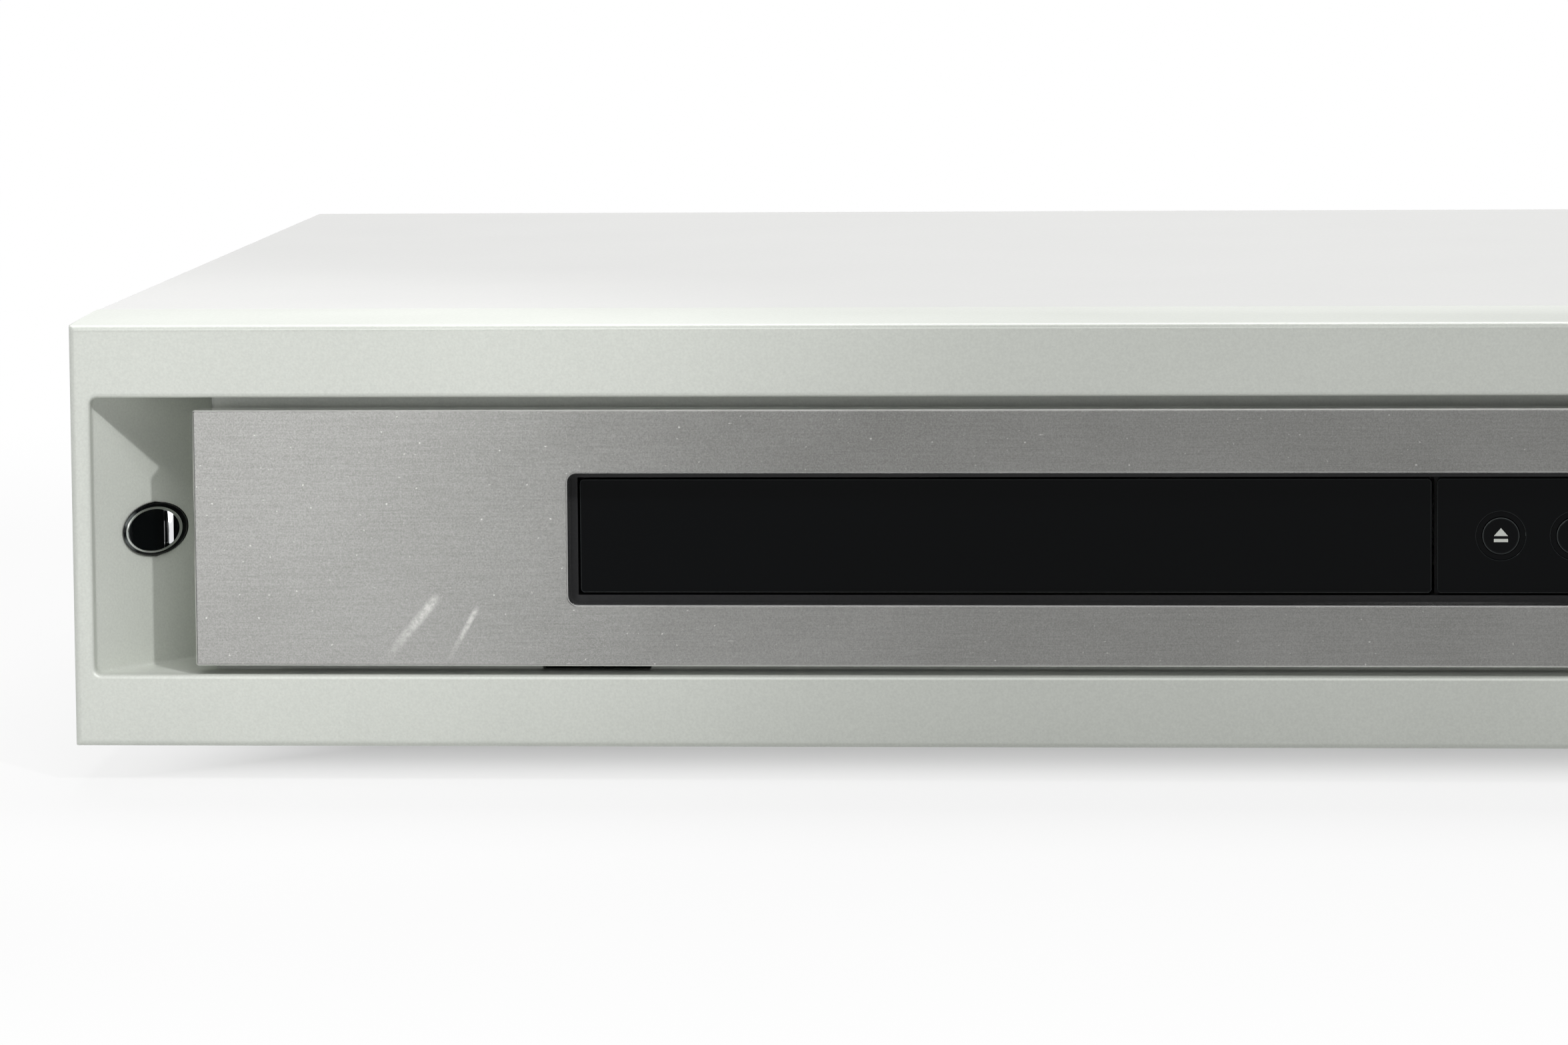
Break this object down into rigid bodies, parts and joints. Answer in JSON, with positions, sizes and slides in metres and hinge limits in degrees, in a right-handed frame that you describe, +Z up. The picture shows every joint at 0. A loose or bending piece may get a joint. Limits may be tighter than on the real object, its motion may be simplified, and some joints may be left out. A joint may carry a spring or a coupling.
{
  "type": "dvd player with tray",
  "caption": "Flat hi-fi width disc player with a sliding disc tray behind a wide brushed metal trim, a round power button and a working loader.",
  "frame": {"origin": "under the middle of the whole part, on the surface that the feet stand on", "axes": "+Z up, the front face towards -Y, +X to the right seen from the front"},
  "size_m": [0.43, 0.2886, 0.0726],
  "materials": {
    "silver_paint": "satin silver paint",
    "brushed_aluminium": "fine lengthwise brushing",
    "black_plastic": "fine texture",
    "gloss_black": "polished",
    "display_glass": "smoked",
    "circuit_board": "green solder mask",
    "brown_board": "paper laminate",
    "chrome_plate": "mirror",
    "zinc_steel": "zinc plated",
    "silver_steel": "satin silver paint",
    "black_rubber": "matt",
    "screw_steel": "plated",
    "grey_plastic": "fine texture",
    "ivory_plastic": "plain",
    "white_plastic": "plain",
    "clear_lens": "polished",
    "yellow_tape": "plain",
    "capacitor_sleeve": "plain",
    "plain_aluminium": "extruded"
  },
  "bodies": {
    "chassis": {"front_bezel": "silver_paint", "front_trim": "brushed_aluminium", "window_frame": "black_plastic", "control_lens": "gloss_black", "display_module": "display_glass", "front_board": "circuit_board", "switch_set": "black_plastic", "power_switch": "black_plastic", "base_pan": "zinc_steel", "top_cover": "silver_steel", "rear_panel": "silver_steel", "feet": "black_rubber", "case_screws": "screw_steel", "loader_frame": "grey_plastic", "clamp_bridge": "zinc_steel", "drive_belt": "black_rubber", "loader_motor": "zinc_steel", "carrier_bushes": "black_rubber", "main_board": "circuit_board", "main_chips": "black_plastic", "board_posts": "screw_steel", "power_board": "brown_board", "transformer": "yellow_tape", "capacitors": "capacitor_sleeve", "heat_sink": "plain_aluminium", "mains_inlet": "black_plastic", "tv_sockets": "black_plastic", "av_jacks": "black_plastic", "tuner_box": "zinc_steel", "flat_cables": "white_plastic"},
    "power_button": {"power_button": "chrome_plate"},
    "eject_button": {"eject_button": "gloss_black"},
    "play_button": {"play_button": "gloss_black"},
    "pause_button": {"pause_button": "gloss_black"},
    "stop_button": {"stop_button": "gloss_black"},
    "record_button": {"record_button": "gloss_black"},
    "tray": {"tray": "grey_plastic", "tray_door": "gloss_black"},
    "drive_gear": {"drive_gear": "ivory_plastic"},
    "belt_wheel": {"belt_wheel": "ivory_plastic"},
    "motor_wheel": {"motor_wheel": "ivory_plastic"},
    "cam": {"cam_slider": "white_plastic"},
    "carrier": {"carrier": "black_plastic", "spindle_motor": "zinc_steel", "guide_rods": "screw_steel", "sled_motor": "zinc_steel"},
    "turntable": {"turntable": "black_plastic"},
    "clamp": {"clamp_puck": "black_plastic"},
    "sled": {"pickup_sled": "grey_plastic"},
    "focus_lens": {"focus_lens": "clear_lens"},
    "sled_gear": {"sled_gear": "ivory_plastic"}
  },
  "joints": [
    {"name": "tray_slide", "type": "slide", "parent": "chassis", "child": "tray", "axis": [0, -1, 0], "range_m": [0, 0.138]},
    {"name": "drive_gear_spin", "type": "hinge", "parent": "chassis", "child": "drive_gear", "pos_m": [-0.02249, -0.1127, 0.0259], "axis": [0, 0, 1], "range_deg": [-660, 0]},
    {"name": "belt_wheel_spin", "type": "hinge", "parent": "chassis", "child": "belt_wheel", "pos_m": [-0.03949, -0.1127, 0.01875], "axis": [0, 0, 1], "range_deg": [0, 1585]},
    {"name": "motor_wheel_spin", "type": "hinge", "parent": "chassis", "child": "motor_wheel", "pos_m": [-0.10309, -0.1127, 0.01625], "axis": [0, 0, 1], "range_deg": [0, 5890]},
    {"name": "cam_slide", "type": "slide", "parent": "chassis", "child": "cam", "axis": [1, 0, 0], "range_m": [0, 0.018]},
    {"name": "carrier_tilt", "type": "hinge", "parent": "chassis", "child": "carrier", "pos_m": [-0.06709, 0.0123, 0.0263], "axis": [1, 0, 0], "range_deg": [0, 3.5]},
    {"name": "turntable_spin", "type": "hinge", "parent": "carrier", "child": "turntable", "pos_m": [-0.06709, -0.0677, 0.037], "axis": [0, 0, 1], "continuous": true},
    {"name": "clamp_spin", "type": "hinge", "parent": "chassis", "child": "clamp", "pos_m": [-0.06709, -0.0677, 0.048], "axis": [0, 0, 1], "continuous": true},
    {"name": "sled_slide", "type": "slide", "parent": "carrier", "child": "sled", "axis": [0, 1, 0], "range_m": [0, 0.034]},
    {"name": "sled_gear_spin", "type": "hinge", "parent": "carrier", "child": "sled_gear", "pos_m": [-0.09259, -0.0337, 0.0295], "axis": [0, 0, 1], "range_deg": [0, 326]},
    {"name": "focus_slide", "type": "slide", "parent": "sled", "child": "focus_lens", "axis": [0, 0, 1], "range_m": [-0.0004, 0.0006], "stiffness_N_per_m": 150},
    {"name": "power_press", "type": "slide", "parent": "chassis", "child": "power_button", "axis": [0, 1, 0], "range_m": [0, 0.0012], "stiffness_N_per_m": 400},
    {"name": "eject_press", "type": "slide", "parent": "chassis", "child": "eject_button", "axis": [0, 1, 0], "range_m": [0, 0.0006], "stiffness_N_per_m": 300},
    {"name": "play_press", "type": "slide", "parent": "chassis", "child": "play_button", "axis": [0, 1, 0], "range_m": [0, 0.0006], "stiffness_N_per_m": 300},
    {"name": "pause_press", "type": "slide", "parent": "chassis", "child": "pause_button", "axis": [0, 1, 0], "range_m": [0, 0.0006], "stiffness_N_per_m": 300},
    {"name": "stop_press", "type": "slide", "parent": "chassis", "child": "stop_button", "axis": [0, 1, 0], "range_m": [0, 0.0006], "stiffness_N_per_m": 300},
    {"name": "record_press", "type": "slide", "parent": "chassis", "child": "record_button", "axis": [0, 1, 0], "range_m": [0, 0.0006], "stiffness_N_per_m": 300}
  ],
  "couplings": [
    {"joint": "drive_gear_spin", "follows": "tray_slide", "rad_per_m": -83.333},
    {"joint": "belt_wheel_spin", "follows": "tray_slide", "rad_per_m": 200},
    {"joint": "motor_wheel_spin", "follows": "tray_slide", "rad_per_m": 742.86},
    {"joint": "carrier_tilt", "follows": "cam_slide", "rad_per_m": 3.39},
    {"joint": "clamp_spin", "follows": "turntable_spin", "ratio": 1},
    {"joint": "sled_gear_spin", "follows": "sled_slide", "rad_per_m": 166.67}
  ]
}
